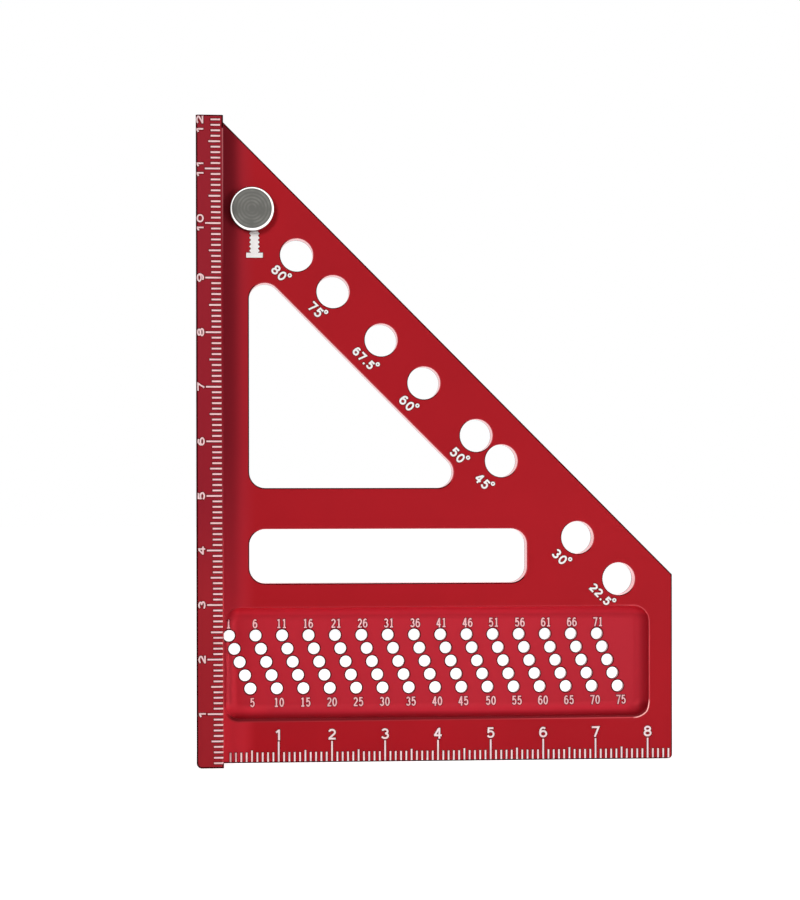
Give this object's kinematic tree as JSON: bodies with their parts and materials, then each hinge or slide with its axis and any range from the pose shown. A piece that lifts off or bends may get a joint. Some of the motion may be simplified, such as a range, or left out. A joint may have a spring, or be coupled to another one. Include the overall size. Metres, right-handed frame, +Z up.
{
  "type": "multi-angle layout square",
  "caption": "Flat marking square with a thick fence, triangular window, slot, angle holes for its locating pin, and slanted rows of pencil holes.",
  "frame": {"origin": "inner corner at half the plate's thickness, where the fence's inner face meets the lower edge", "axes": "+X along the bottom scale away from the fence, +Y through the plate from front to back, +Z up the fence"},
  "size_m": [0.09, 0.02, 0.12],
  "materials": {
    "red_anodised_aluminium": "red anodised, satin",
    "pin_steel": "turned, bright chamfer"
  },
  "bodies": {
    "root": {"square_body": "red_anodised_aluminium", "locating_pin": "pin_steel"}
  },
  "joints": []
}
